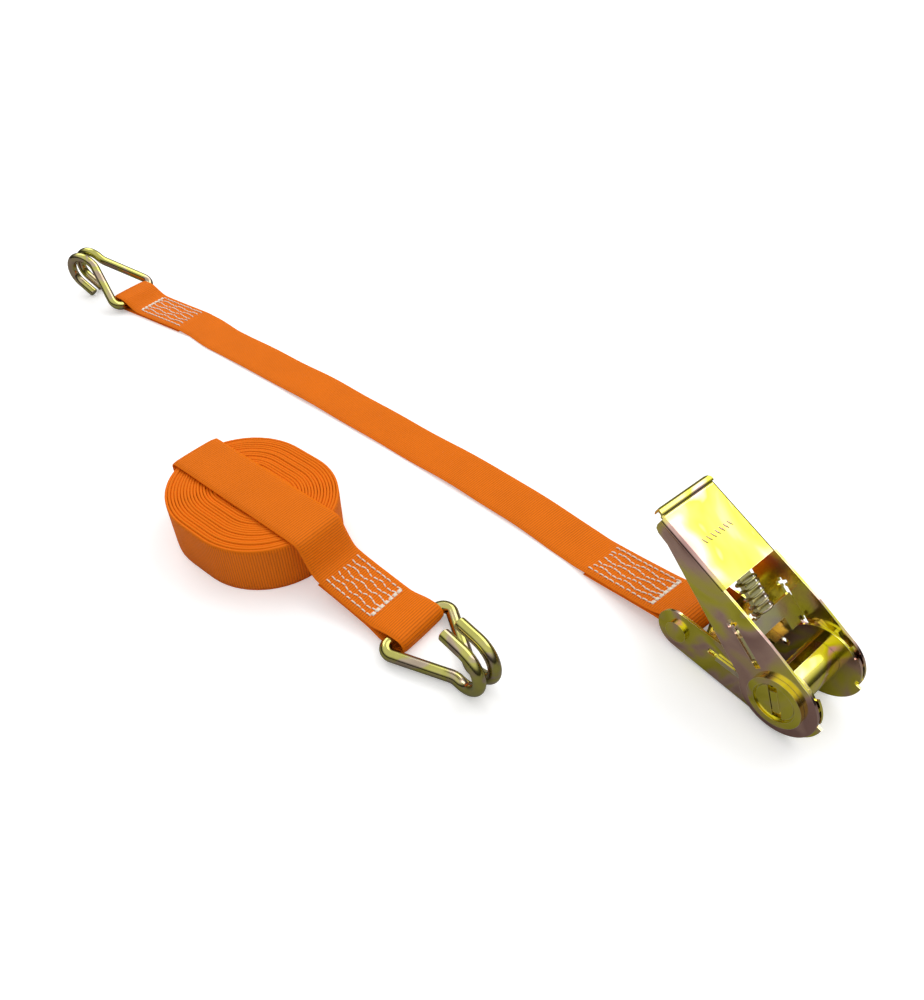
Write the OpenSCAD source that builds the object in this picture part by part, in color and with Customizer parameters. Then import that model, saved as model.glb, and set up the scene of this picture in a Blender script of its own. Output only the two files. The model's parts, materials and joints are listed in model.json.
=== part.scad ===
// Ratchet tie-down for light cargo, laid out as it is stored: a hand ratchet sewn to a short strap
// with a double wire hook, and beside it a long strap with its own hook, wound into a flat roll.
// X runs along the ratchet with the spool at the +X end, Y across it, Z up from the floor at z = 0.
// The origin is the centre of the whole layout's base.

/* [Webbing] */
// Width of the webbing
web_w = 25; // [22:0.5:25.2]
// Thickness of one layer of webbing
web_t = 1.3; // [1:0.1:1.4]
// Distance along X from the spool axis to the short strap's hook bar
short_reach = 458; // [380:1:520]
// Sideways drift of the short strap's hook end as it lies on the floor
short_drift = 59; // [53:1:70]
// Length of each box of stitching
sewn_len = 36; // [24:1:40]
// Width of each box of stitching
sewn_w = 18; // [12:1:20]

/* [Roll of long strap] */
// Radius of the roll's round ends
roll_r = 35; // [25:1:36]
// Half the distance between the centres of the roll's round ends
roll_half = 7; // [0:1:7]
// Distance from the roll's centre to the long strap's hook bar
tail_reach = 97; // [96:1:120]
// Turn of the long strap's tail away from X, in degrees
tail_yaw = 10; // [0:0.5:12]
// Turn of the long strap's hook within its loop, in degrees
long_skew = -8; // [-10:1:10]
// Turn of the short strap's hook within its loop, in degrees
short_skew = 12; // [-12:1:12]

/* [Hooks] */
// Diameter of the hook wire
wire_d = 5.5; // [4:0.5:5.5]
// Radius of the hook's bend, to the wire's centre
bend_r = 10.5; // [8:0.1:12]
// Half the distance between the two prongs' centres
prong_half = 4.1; // [4:0.1:5]

/* [Ratchet] */
// Thickness of the pressed sheet of the frame and the handle
sheet = 1.1; // [1:0.1:1.3]
// Height of the spool axis over the floor
hub_z = 17.5; // [17.5:0.5:19]
// Radius of the pair of half shafts
shaft_r = 7.5; // [6.5:0.5:7.5]
// Gap between the half shafts, which takes the webbing
shaft_gap = 3.8; // [3:0.1:4]
// Number of teeth on each ratchet wheel
teeth = 12; // [8:1:14]
// Angle of the handle over its closed position, in degrees
handle_open = 23; // [15:1:60]
// Angle of the webbing slot from X, seen from the left, in degrees
slot_turn = 115; // [0:5:180]

/* [Hidden] */

$fn = 64;
eps = 0.01;
zinc = "#c8b24a";
steel = "#a9a58a";
orange = "#e8701c";
thread = "#f3dcc0";

// Where the spool axis crosses the floor plan, seen from the layout's centre
hub_x = 241.3;
hub_y = 62;
// The long strap's hook bar, back along X and aside along Y from the spool axis
long_hook_back = 122;
long_hook_aside = 89.5;

// Widths across the ratchet, each as half the full width, from the inside out
run_fit = 0.08;
side_gap = 0.1;
wheel_t = 1.1;
frame_in = 12.8;
frame_out = frame_in + sheet;
wheel_in = frame_out + side_gap;
wheel_out = wheel_in + wheel_t;
grip_in = wheel_out + side_gap;
grip_out = grip_in + sheet;
collar_in = grip_out + side_gap;

// Frame, in the side view about the spool axis
rim_r = 14.5;
step_r = 16;
lobe_r = 17.5;
tail_r = 9.5;
bolt_x = -46;
bolt_z = -6;
bolt_r = 3;
sleeve_r = 4.2;
shoulder_x = -16.9;
base_from = -40;
base_to = -19;
base_slope = (bolt_z - tail_r + lobe_r) / -bolt_x;

// Lock plate and its slot, which lie a little under the axis
lock_z = -4;
tip_r = 15.5;
root_r = 12.4;
pawl_tip = tip_r + 0.3;
plate_t = 2.2;
slot_h = plate_t + 0.5;
travel = 3.5;
lug_x = -38.6;
lug_w = 8;
lug_top = -0.4;

// Handle, in the side view with the handle closed
head_r = 16;
grip_top = 17.4;
grip_end = -75.6;
grip_near = -42;
corner_r = 2;
pawl_rise = 16;

// Wire hook
wire_r = wire_d / 2;
loop_clear = 0.3;
arm_half = web_w / 2 + wire_r + 1.65;
corner = 4;
arm_angle = 27;
arm_blend = 8;
prong_tip = 22.5;

// Webbing loops round the hook bars and the bolt's sleeve
hook_loop_r = wire_r + loop_clear + web_t / 2;
bar_z = hook_loop_r + web_t / 2;
bolt_loop_r = sleeve_r + loop_clear + web_t / 2;
ply = web_t + 0.05;
// Drop from one layer to the next where both slope
under = ply * 1.02;

// ---------- Helpers ----------

// A sheet profile drawn in X and Z, from y to y + t
module side_sheet(y, t) {
    translate([0, y + t, 0]) rotate([90, 0, 0]) linear_extrude(t) children();
}

// The same profile on both sides of the ratchet, from half width a to half width b
module both_sides(a, b) {
    side_sheet(-b, b - a) children();
    side_sheet(a, b - a) children();
}

// Parts drawn about the spool axis
module at_hub() {
    translate([hub_x, hub_y, hub_z]) children();
}

// A round bar along Y
module bar_y(r, from, to) {
    translate([0, from, 0]) rotate([-90, 0, 0]) cylinder(r = r, h = to - from);
}

// A wedge from angle a to angle b, less than half a turn apart
module wedge(a, b, r = 40) {
    mid = (a + b) / 2;
    polygon([[0, 0], r * [cos(a), sin(a)], 1.6 * r * [cos(mid), sin(mid)], r * [cos(b), sin(b)]]);
}

function unit(v) = v / norm(v);
function arc(cx, cy, r, a, b, n) = [for (i = [0:n]) let (t = a + (b - a) * i / n)
    [cx + r * cos(t), cy + r * sin(t)]];

// Direction of a path of points at point i
function heading(p, i) = unit(p[min(i + 1, len(p) - 1)] - p[max(i - 1, 0)]);

// Outline of a ribbon of thickness t along a flat path
function ribbon(p, t) = concat(
    [for (i = [0:len(p) - 1]) p[i] + t / 2 * [-heading(p, i)[1], heading(p, i)[0]]],
    [for (i = [len(p) - 1:-1:0]) p[i] - t / 2 * [-heading(p, i)[1], heading(p, i)[0]]]);

// Side directions that turn along a path without twist
function carried(n, t) = unit(n - (n * t) * t);
function sides(p, i = 0, n = [0.1, 0.2, 1], out = []) = i == len(p) ? out :
    let (s = carried(n, heading(p, i))) sides(p, i + 1, s, concat(out, [s]));

// A round wire of radius r with k sides along a path in space
module wire(p, r, k) {
    n = sides(p);
    points = [for (i = [0:len(p) - 1]) let (t = heading(p, i), u = n[i], v = cross(t, u))
        for (j = [0:k - 1]) p[i] + r * (cos(360 * j / k) * u + sin(360 * j / k) * v)];
    skin = [for (i = [0:len(p) - 2]) for (j = [0:k - 1])
        [i * k + j, i * k + (j + 1) % k, (i + 1) * k + (j + 1) % k, (i + 1) * k + j]];
    start_cap = [for (j = [k - 1:-1:0]) j];
    end_cap = [for (j = [0:k - 1]) (len(p) - 1) * k + j];
    polyhedron(points, [for (f = concat([start_cap], skin, [end_cap])) [for (q = [len(f) - 1:-1:0]) f[q]]]);
}

// Path of a compression spring along +X, with closed end turns
function coil_x(u, turns, len_x, w) = u < 0.75 ? u * w : u > turns - 0.75 ? len_x - (turns - u) * w :
    0.75 * w + (u - 0.75) * (len_x - 1.5 * w) / (turns - 1.5);
function coil(r, len_x, turns, w, per_turn) = [for (i = [0:turns * per_turn]) let (u = i / per_turn)
    [coil_x(u, turns, len_x, w), r * cos(360 * u), r * sin(360 * u)]];

// ---------- Ratchet frame ----------

module frame_outline() {
    difference() {
        union() {
            circle(r = rim_r);
            intersection() { circle(r = step_r); wedge(-5, 42); }
            intersection() { circle(r = lobe_r); union() { wedge(-50, -3); wedge(-100, -49); } }
            // The step at the shoulder lets the release pawl lie down with the handle closed
            polygon([[0, -lobe_r], [bolt_x, bolt_z - tail_r], [bolt_x, bolt_z + tail_r],
                [shoulder_x, bolt_z + tail_r - 0.2], [-10, 10.4], [0, 0]]);
            translate([bolt_x, bolt_z]) circle(r = tail_r);
        }
        // Notch between the head's two lobes
        polygon([[lobe_r + 1, -2.2], [rim_r, -1.4], [rim_r, 0.6], [lobe_r + 1, 1]]);
        circle(r = shaft_r + run_fit);
        translate([-31.4, lock_z - slot_h / 2]) square([19.1, slot_h]);
        translate([bolt_x, bolt_z]) circle(r = bolt_r + 0.02);
    }
}

// Underside of the base at x
function base_at(x) = -lobe_r - x * base_slope;

module frame() color(zinc) at_hub() {
    both_sides(frame_in, frame_out) frame_outline();
    side_sheet(-frame_in - eps, 2 * (frame_in + eps)) polygon([[base_from, base_at(base_from)],
        [base_to, base_at(base_to)], [base_to, base_at(base_to) + sheet], [base_from, base_at(base_from) + sheet]]);
    // Lug that the lock spring pushes against
    side_sheet(-lug_w / 2, lug_w) translate([lug_x, base_at(lug_x) + eps])
        square([sheet, lug_top - base_at(lug_x)]);
}

module strap_bolt() color(steel) at_hub() translate([bolt_x, 0, bolt_z]) {
    bar_y(bolt_r, -frame_out - 0.05, frame_out + 0.05);
    bar_y(4.8, -frame_out - 1.5, -frame_out);
    bar_y(4.8, frame_out, frame_out + 1.5);
}

module bolt_sleeve() color(steel) at_hub() translate([bolt_x, 0, bolt_z]) difference() {
    bar_y(sleeve_r, -frame_in + 0.1, frame_in - 0.1);
    bar_y(bolt_r + 0.06, -frame_in, frame_in);
}

// Flat plate in X and Y, centred on z = 0
module flat(from_x, to_x, half_y) {
    translate([to_x, -half_y, -plate_t / 2]) cube([from_x - to_x, 2 * half_y, plate_t]);
}

module lock_plate() color(steel) at_hub() translate([0, 0, lock_z]) difference() {
    union() {
        flat(-pawl_tip, -27, wheel_out - 0.05);
        flat(-26, -29, frame_in - 0.3);
        flat(-28, -33, 2.2);
    }
    // Gap that clears the webbing wound on the spool
    translate([-19, -frame_in + 4.5, -plate_t]) cube([10, 2 * frame_in - 9, 2 * plate_t]);
}

module lock_spring() color(steel) at_hub() translate([lug_x + sheet + 0.5, 0, lock_z])
    wire(coil(3.2, 7.3, 4.5, 0.9, 12), 0.4, 8);

// ---------- Handle ----------

module handle_outline() {
    difference() {
        union() {
            circle(r = head_r);
            polygon([[0, 0], [0, head_r], [-18, grip_top], [grip_end, grip_top], [grip_end, 13.4],
                [grip_end + 0.7, 11.6], [grip_end + 2.6, 10.6], [grip_end + 8, 10.2],
                [-14, -8.2], [-12, -10.5]]);
        }
        circle(r = shaft_r + run_fit);
        rotate(-pawl_rise) {
            translate([-30, -slot_h / 2]) square([16.7, slot_h]);
            translate([-34, -0.8]) square([5, 1.6]);
            translate([-32.6, -2.6]) square([1.5, 5.2]);
        }
    }
}

// What the rounded bend removes from a square corner, along the grip
module bend_cut() {
    difference() {
        translate([grip_end - 1, grip_out - corner_r, grip_top - corner_r])
            cube([grip_near - grip_end + 1, corner_r + 1, corner_r + 1]);
        translate([grip_end - 2, grip_out - corner_r, grip_top - corner_r]) rotate([0, 90, 0])
            cylinder(r = corner_r, h = grip_near - grip_end + 3);
    }
}

// Lip at the end of the grip: the sheet steps up, then curls over and down, with rounded ends
module grip_lip() {
    lip_r = 2.2;
    lip_up = 1.1;
    lip_half = 15.4;
    lip_down = 2;
    end_r = 2.4;
    intersection() {
        side_sheet(-lip_half, 2 * lip_half) translate([grip_end, grip_top - sheet]) {
            translate([-sheet, 0]) square([sheet + eps, sheet + 0.2]);
            translate([-lip_r, lip_up - lip_r + sheet]) {
                intersection() {
                    difference() { circle(r = lip_r); circle(r = lip_r - sheet); }
                    translate([-lip_r, 0]) square([2 * lip_r, lip_r + eps]);
                }
                translate([-lip_r, -lip_down]) square([sheet, lip_down + eps]);
            }
        }
        translate([0, 0, grip_top - 6]) linear_extrude(9) hull() for (s = [-1, 1]) {
            translate([grip_end - 2 * lip_r + end_r, s * (lip_half - end_r)]) circle(r = end_r);
            translate([grip_end - 1, s * lip_half - (s > 0 ? 1 : 0)]) square([2, 1]);
        }
    }
}

module handle() color(zinc) at_hub() rotate([0, handle_open, 0]) difference() {
    union() {
        both_sides(grip_in, grip_out) handle_outline();
        side_sheet(-grip_in - eps, 2 * (grip_in + eps))
            translate([grip_end, grip_top - sheet]) square([grip_near - grip_end, sheet]);
        grip_lip();
        // Tab that the pawl spring pushes against
        side_sheet(-7, 14) translate([grip_near - sheet, 6.6]) square([sheet, grip_top - 6.6 - eps]);
    }
    bend_cut();
    mirror([0, 1, 0]) bend_cut();
    // Hole in the tab for the pawl's stem
    translate([grip_near - 3, -3.6, 10.6]) cube([5, 7.2, 3.4]);
}

module release_pawl() color(steel) at_hub() rotate([0, handle_open + pawl_rise, 0]) difference() {
    union() {
        flat(-pawl_tip, -27.5, wheel_out - 0.05);
        flat(-17, -26, grip_in + 0.5);
        flat(-27, -48, 3.2);
    }
    // Gap that clears the webbing wound on the spool
    translate([-21.5, -6.5, -plate_t]) cube([10, 13, 2 * plate_t]);
    // Reliefs that clear the frame's lobes
    for (s = [-1, 1]) translate([-lobe_r - 0.5, s * (frame_in + frame_out) / 2 - 0.9, -plate_t])
        cube([5, 1.8, 2 * plate_t]);
}

module pawl_spring() color(steel) at_hub() rotate([0, handle_open + pawl_rise, 0])
    translate([-41.7, 0, 0]) wire(coil(4.1, 13.6, 5, 1.1, 14), 0.5, 8);

// ---------- Spool ----------

function tooth(i) = let (a = 360 * i / teeth, land = 5)
    [tip_r * [cos(a - land), sin(a - land)], tip_r * [cos(a), sin(a)], root_r * [cos(a), sin(a)]];

// Everything on one side of the webbing slot, less the fit
module slot_side(s, gap) {
    rotate(slot_turn) translate([-20, s > 0 ? gap / 2 : -20 - gap / 2]) square([40, 20]);
}

module half_round(s, r, gap) {
    intersection() { circle(r = r); slot_side(s, gap); }
}

module wheel_outline() {
    difference() {
        polygon([for (i = [0:teeth - 1]) each tooth(i)]);
        half_round(1, shaft_r + 0.04, shaft_gap - 0.08);
        half_round(-1, shaft_r + 0.04, shaft_gap - 0.08);
    }
}

module wheel_left() color(zinc) at_hub() side_sheet(-wheel_out, wheel_out - wheel_in) wheel_outline();
module wheel_right() color(zinc) at_hub() side_sheet(wheel_in, wheel_out - wheel_in) wheel_outline();

shaft_end = collar_in + 1.3;
module half_shaft_front() color(zinc) at_hub() side_sheet(-shaft_end, 2 * shaft_end) half_round(-1, shaft_r, shaft_gap);
module half_shaft_rear() color(zinc) at_hub() side_sheet(-shaft_end, 2 * shaft_end) half_round(1, shaft_r, shaft_gap);

module collar(s) {
    rotate([s > 0 ? -90 : 90, 0, 0]) translate([0, 0, collar_in]) difference() {
        cylinder(r = 11, h = 2.1);
        translate([0, 0, -1]) cylinder(r = shaft_r + 0.06, h = 4);
        translate([0, 0, 0.9]) cylinder(r = 8.4, h = 4);
    }
}

module collar_left() color(zinc) at_hub() collar(-1);
module collar_right() color(zinc) at_hub() collar(1);

// Flat-sided pin that lies in the webbing slot outside the wheel and keeps the half shafts apart
pin_len = 9.6;
pin_from = wheel_out + 0.1;
module shaft_pin(s) {
    pin_t = shaft_end - pin_from;
    translate([0, s * (pin_from + pin_t / 2), 0]) rotate([0, 90 - slot_turn, 0]) intersection() {
        translate([0, 0, -pin_len / 2]) cylinder(r = shaft_gap / 2 - 0.02, h = pin_len);
        cube([shaft_gap, pin_t, pin_len + 1], center = true);
    }
}

module shaft_pin_left() color(steel) at_hub() shaft_pin(-1);
module shaft_pin_right() color(steel) at_hub() shaft_pin(1);

// ---------- Hooks ----------

// Half of the hook wire's path, from the middle of its bar to the tip of one prong
arm_x = corner + corner * cos(90 - arm_angle);
arm_y = arm_half - corner + corner * sin(90 - arm_angle);
blend_y = prong_half + arm_blend * (1 - cos(arm_angle));
blend_x = arm_x + (arm_y - blend_y) / tan(arm_angle) + arm_blend * sin(arm_angle);
bend_x = blend_x + 0.8;
half_hook = concat(
    [[0, 5, 0]],
    [for (q = arc(corner, arm_half - corner, corner, 180, 90 - arm_angle, 7)) [q[0], q[1], 0]],
    [for (q = arc(blend_x, prong_half + arm_blend, arm_blend, -90 - arm_angle, -90, 3)) [q[0], q[1], 0]],
    [for (q = arc(bend_x, bend_r, bend_r, -90, 90, 12)) [q[0], prong_half, q[1]]],
    [[prong_tip, prong_half, 2 * bend_r]]);
hook_path = concat([for (i = [len(half_hook) - 1:-1:0]) half_hook[i]],
    [for (q = half_hook) [q[0], -q[1], q[2]]]);

module hook() {
    wire(hook_path, wire_r, 12);
    // The round bar that the webbing's loop turns on
    bar_y(wire_r + 0.03, corner + 0.5 - arm_half, arm_half - corner - 0.5);
}

// The short hook lies on its prong tips, curl down; the long hook lies on its back, curl up
tip_drop = 2 * bend_r + wire_r;
short_tilt = atan(tip_drop / prong_tip) - asin(bar_z / norm([prong_tip, tip_drop])) + 0.3;
long_tilt = asin((bar_z - wire_r - 0.05) / (bend_x + 0.5));

// ---------- Short strap ----------

// Main layer over the bolt's sleeve, under it and back to its cut end
bolt_at = hub_z + bolt_z;
sewn_near = [-62, bolt_at - 2.7];
sewn_far = [sewn_near[0] - sewn_len, 2.1];
short_sewn_slope = atan((sewn_near[1] - sewn_far[1]) / sewn_len);
short_at_bolt = concat(
    [[-128, web_t / 2], [sewn_far[0] - 10, web_t / 2], [sewn_far[0] - 5, 1], sewn_far, sewn_near,
        [-56, bolt_at - 0.3], [-53, bolt_at + 1.5]],
    arc(bolt_x, bolt_at, bolt_loop_r, 130, -118, 22),
    [[-54, bolt_at - 2.7], [-58, bolt_at - 3.2], sewn_near - [0, under], sewn_far - [0, under]]);

// Half the length of a loop that lets the hook bar lie skewed in it
function loop_half(skew) = web_w / 2 * tan(abs(skew)) + 0.2;

// Main layer over a hook bar at the origin, under it and back to its cut end
function flat_hook_end(run, e) = concat(
    [[-run, web_t / 2], [-62, web_t / 2], [-57, ply * 0.6 + web_t / 2], [-53, ply + web_t / 2],
        [-e - 12, ply + web_t / 2], [-e - 7.5, 4.2], [-e - 3.5, 7.3], [-e, bar_z + hook_loop_r]],
    arc(e, bar_z, hook_loop_r, 90, -90, 14),
    [[-e - 6, web_t / 2], [-52, web_t / 2]]);

module strap_run(path) side_sheet(-web_w / 2, web_w) polygon(ribbon(path, web_t));

// Sideways place of the short strap's middle, x from the spool axis: it turns aside just past the
// stitching, then bends evenly, then turns a little more at the hook
drift_from = 100;
drift_run = short_reach - drift_from;
quick = 52;
quick_fade = 0.12;
late = 7;
late_power = 6;
steady = short_drift - quick * (1 - quick_fade) - late;
function eased(u) = u - quick_fade * (1 - exp(-u / quick_fade));
function along(x) = (-drift_from - x) / drift_run;
function drift(x) = let (u = along(x))
    -steady * pow(u, 2) - quick * eased(u) - late * pow(u, late_power);
short_yaw = atan((2 * steady + quick + late_power * late) / drift_run);
plan_x = [for (i = [0:24]) -115 - i * (short_reach - 115 - 66) / 24];
plan = [for (x = plan_x) [x, drift(x)]];

module at_short_hook() {
    translate([-short_reach, drift(-short_reach), 0]) rotate([0, 0, short_yaw + 180]) children();
}

module short_strap() color(orange) translate([hub_x, hub_y, 0]) {
    strap_run(short_at_bolt);
    linear_extrude(web_t) polygon(ribbon(plan, web_w));
    at_short_hook() strap_run(flat_hook_end(72, loop_half(short_skew)));
}

// A box of stitching in X and Y with its +X end at the origin
module stitch_box(len) {
    bar = 0.7;
    high = 0.3;
    rows = 7;
    for (x = [-len, -bar]) translate([x, -sewn_w / 2, 0]) cube([bar, sewn_w, high]);
    for (i = [0:rows - 1]) translate([-len, -sewn_w / 2 + i * (sewn_w - bar) / (rows - 1), 0])
        cube([len, bar, high]);
}

module short_strap_stitching_ratchet() color(thread)
    translate([hub_x + sewn_near[0], hub_y, sewn_near[1]]) rotate([0, -short_sewn_slope, 0])
        translate([0, 0, web_t / 2]) stitch_box(sewn_len);

module short_strap_stitching_hook() color(thread) translate([hub_x, hub_y, 0]) at_short_hook()
    translate([-16, 0, ply + web_t]) stitch_box(sewn_len);

module short_hook() color(zinc) translate([hub_x, hub_y, bar_z]) at_short_hook()
    rotate([0, 0, short_skew]) rotate([0, -short_tilt, 0]) mirror([0, 0, 1]) hook();

// ---------- Long strap ----------

module at_long_hook() {
    translate([hub_x - long_hook_back, hub_y - long_hook_aside, 0]) rotate([0, 0, tail_yaw]) children();
}

module long_strap_roll() color(orange) at_long_hook() translate([-tail_reach, 0, 0]) {
    for (s = [-1, 1]) translate([s * roll_half, 0, 0]) cylinder(r = roll_r, h = web_w);
    translate([-roll_half, -roll_r, 0]) cube([2 * roll_half, 2 * roll_r, web_w]);
}

roll_near = -tail_reach + roll_half + roll_r;
roll_far = -tail_reach - roll_half - roll_r;
top_z = web_w + 0.05 + web_t / 2;
fold_r = 2.2;
// The sewn, doubled part between the foot of the drop and the loop
long_loop = loop_half(long_skew);
tail_near = [-12 - long_loop, 5.8];
tail_foot = [roll_near + 12, 10.4];
tail_slope = (tail_foot[1] - tail_near[1]) / (tail_near[0] - tail_foot[0]);
tail_sewn_len = min(0.75 * sewn_len, tail_near[0] - tail_foot[0] - 2);
tail_end = concat(
    [[roll_far - 1, 12]],
    arc(roll_far - 1 + fold_r, top_z - fold_r, fold_r, 180, 90, 5),
    [[roll_near - 3, top_z], [roll_near + 0.9, top_z - 0.4], [roll_near + 2.4, top_z - 2.4],
        [roll_near + 5.6, 17.2], [roll_near + 8.4, 12.8], tail_foot, tail_near, [-long_loop - 8, 6.3],
        [-long_loop - 3.5, 7.4], [-long_loop, bar_z + hook_loop_r]],
    arc(long_loop, bar_z, hook_loop_r, 90, -90, 14),
    [[-long_loop - 5, 1.1], [-long_loop - 9, 2.9], tail_near - [0, under], tail_foot - [0.5, under - 0.5 * tail_slope]]);

module long_strap_tail() color(orange) at_long_hook() strap_run(tail_end);

module long_strap_stitching() color(thread) at_long_hook()
    translate([tail_near[0] - 1, 0, tail_near[1] + tail_slope]) rotate([0, atan(tail_slope), 0])
        translate([0, 0, web_t / 2 + 0.02]) stitch_box(tail_sewn_len);

module long_hook() color(zinc) at_long_hook() translate([0, 0, bar_z])
    rotate([0, 0, long_skew]) rotate([0, long_tilt, 0]) hook();

frame();
strap_bolt();
bolt_sleeve();
lock_plate();
lock_spring();
handle();
release_pawl();
pawl_spring();
wheel_left();
wheel_right();
half_shaft_front();
half_shaft_rear();
collar_left();
collar_right();
shaft_pin_left();
shaft_pin_right();
short_strap();
short_strap_stitching_ratchet();
short_strap_stitching_hook();
short_hook();
long_strap_roll();
long_strap_tail();
long_strap_stitching();
long_hook();
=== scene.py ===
# %% [markdown]
# # A ratchet tie-down laid out for storage
# A hand ratchet is sewn to a short strap with a wire hook. Beside it lies the long strap, wound up, with
# its own hook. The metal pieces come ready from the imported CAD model. The soft and bent pieces (webbing,
# stitching, hooks and springs) are made here, because smooth wire and woven tape need many more faces
# than a CAD solid gives.

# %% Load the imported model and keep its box
import json
import math
import random

import bpy
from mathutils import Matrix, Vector


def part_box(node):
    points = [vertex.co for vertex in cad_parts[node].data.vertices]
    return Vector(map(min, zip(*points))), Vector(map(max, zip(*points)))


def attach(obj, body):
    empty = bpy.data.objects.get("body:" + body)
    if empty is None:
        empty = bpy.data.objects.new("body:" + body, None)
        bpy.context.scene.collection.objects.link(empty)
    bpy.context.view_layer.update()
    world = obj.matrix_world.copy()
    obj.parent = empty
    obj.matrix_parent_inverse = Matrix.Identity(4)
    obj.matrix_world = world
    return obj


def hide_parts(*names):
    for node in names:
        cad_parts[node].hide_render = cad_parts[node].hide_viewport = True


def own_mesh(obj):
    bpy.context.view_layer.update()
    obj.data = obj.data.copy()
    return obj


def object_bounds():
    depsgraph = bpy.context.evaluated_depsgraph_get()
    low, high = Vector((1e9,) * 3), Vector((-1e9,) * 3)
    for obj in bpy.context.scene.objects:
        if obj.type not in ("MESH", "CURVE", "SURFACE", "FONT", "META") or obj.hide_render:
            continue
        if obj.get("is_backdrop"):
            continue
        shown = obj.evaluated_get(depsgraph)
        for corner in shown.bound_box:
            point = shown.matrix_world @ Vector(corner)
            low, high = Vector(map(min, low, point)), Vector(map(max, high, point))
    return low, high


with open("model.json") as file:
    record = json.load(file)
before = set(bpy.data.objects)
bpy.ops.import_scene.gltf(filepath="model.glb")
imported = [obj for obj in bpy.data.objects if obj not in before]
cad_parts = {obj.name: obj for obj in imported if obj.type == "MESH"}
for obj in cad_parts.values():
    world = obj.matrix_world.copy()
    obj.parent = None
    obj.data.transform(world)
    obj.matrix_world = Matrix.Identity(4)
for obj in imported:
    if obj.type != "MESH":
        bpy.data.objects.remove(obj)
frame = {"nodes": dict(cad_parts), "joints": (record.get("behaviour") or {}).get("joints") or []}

cad_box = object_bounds()
nodes = frame["nodes"]
joints = {j["name"]: j for j in frame["joints"]}
MM = 0.001
print("CAD box in mm:", [[round(v / MM, 1) for v in corner] for corner in cad_box])

# %% Find the spool, which the rest is placed from
def middle(node):
    """Middle of a CAD node's box, in metres."""
    low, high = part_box(node)
    return (Vector(low) + Vector(high)) / 2

hub = (middle("collar_left") + middle("collar_right")) / 2
print("spool axis in mm:", [round(v / MM, 2) for v in hub])

# %% [markdown]
# ## Camera, floor and light
# The camera comes first, so that every later choice can be judged through it. It looks down at 43
# degrees from close by, so near things look clearly larger: a 29.5 mm lens on a 36 mm tall sensor.
# A white floor under a large soft sky gives the plain studio look. Bright metal mirrors its
# surroundings, so the sky it mirrors is dark near the horizon, and it sees a darker floor than the
# camera does. That is what puts dark bands into the zinc. The standard view keeps the strong orange.

# %% Camera
SENSOR_HEIGHT = 36
LENS = 29.5
LOOK_DOWN = 43
HEADING = 49.35
EYE = (53.4, -213.6, 275)

camera = bpy.data.objects.new("camera", bpy.data.cameras.new("camera"))
bpy.context.scene.collection.objects.link(camera)
camera.data.sensor_fit = "VERTICAL"
camera.data.sensor_height = SENSOR_HEIGHT
camera.data.lens = LENS
camera.data.clip_start = 0.01
camera.location = (hub.x + EYE[0] * MM, hub.y + EYE[1] * MM, EYE[2] * MM)
camera.rotation_euler = (math.radians(90 - LOOK_DOWN), 0, math.radians(HEADING))
bpy.context.scene.camera = camera
bpy.context.scene.view_settings.view_transform = "Standard"
print("camera at", [round(v, 3) for v in camera.location])

# %% Floor
FLOOR_HALF = 4
FLOOR_SINK = 0.02

def new_material(name):
    """A material, its node tree and its Principled shader."""
    material = bpy.data.materials.new(name)
    material.use_nodes = True
    tree = material.node_tree
    return material, tree, tree.nodes["Principled BSDF"]

floor_mesh = bpy.data.meshes.new("floor")
corners = [(x * FLOOR_HALF, y * FLOOR_HALF, 0) for x, y in ((-1, -1), (1, -1), (1, 1), (-1, 1))]
floor_mesh.from_pydata(corners, [], [(0, 1, 2, 3)])
floor = bpy.data.objects.new("floor", floor_mesh)
bpy.context.scene.collection.objects.link(floor)
floor_paint, tree, shader = new_material("white_floor")
shader.inputs["Base Color"].default_value = (0.93, 0.93, 0.93, 1)
shader.inputs["Roughness"].default_value = 0.8
shader.inputs["Specular IOR Level"].default_value = 0.1

# Metal mirrors a darker floor than the eye sees.
mirrored = tree.nodes.new("ShaderNodeBsdfDiffuse")
mirrored.inputs["Color"].default_value = (0.30, 0.29, 0.27, 1)
ray = tree.nodes.new("ShaderNodeLightPath")
for_metal = tree.nodes.new("ShaderNodeMixShader")
tree.links.new(ray.outputs["Is Glossy Ray"], for_metal.inputs[0])
tree.links.new(shader.outputs[0], for_metal.inputs[1])
tree.links.new(mirrored.outputs[0], for_metal.inputs[2])

# The eye sees it a little brighter than the lamps make it.
glow = tree.nodes.new("ShaderNodeEmission")
glow.inputs["Color"].default_value = (1, 1, 1, 1)
glow.inputs["Strength"].default_value = 0.3
lifted = tree.nodes.new("ShaderNodeAddShader")
tree.links.new(shader.outputs[0], lifted.inputs[0])
tree.links.new(glow.outputs[0], lifted.inputs[1])
for_eye = tree.nodes.new("ShaderNodeMixShader")
tree.links.new(ray.outputs["Is Camera Ray"], for_eye.inputs[0])
tree.links.new(for_metal.outputs[0], for_eye.inputs[1])
tree.links.new(lifted.outputs[0], for_eye.inputs[2])
tree.links.new(for_eye.outputs[0], tree.nodes["Material Output"].inputs["Surface"])
floor_mesh.materials.append(floor_paint)
floor.location.z = -FLOOR_SINK * MM
floor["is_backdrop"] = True
print("floor ready")

# %% Soft lamps
def lamp(name, place, size, watts):
    """A soft rectangular lamp that points at the middle of the scene."""
    light = bpy.data.lights.new(name, "AREA")
    light.shape = "RECTANGLE"
    light.size, light.size_y = size
    light.energy = watts
    obj = bpy.data.objects.new(name, light)
    bpy.context.scene.collection.objects.link(obj)
    obj.location = place
    obj.rotation_euler = (-Vector(place)).to_track_quat("-Z", "Y").to_euler()

lamp("key_lamp", (0.05, 1.05, 1.1), (1.5, 1.0), 8.2)
lamp("side_lamp", (-1.1, 0.1, 0.9), (0.7, 0.7), 4.0)
print("two lamps")

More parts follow.
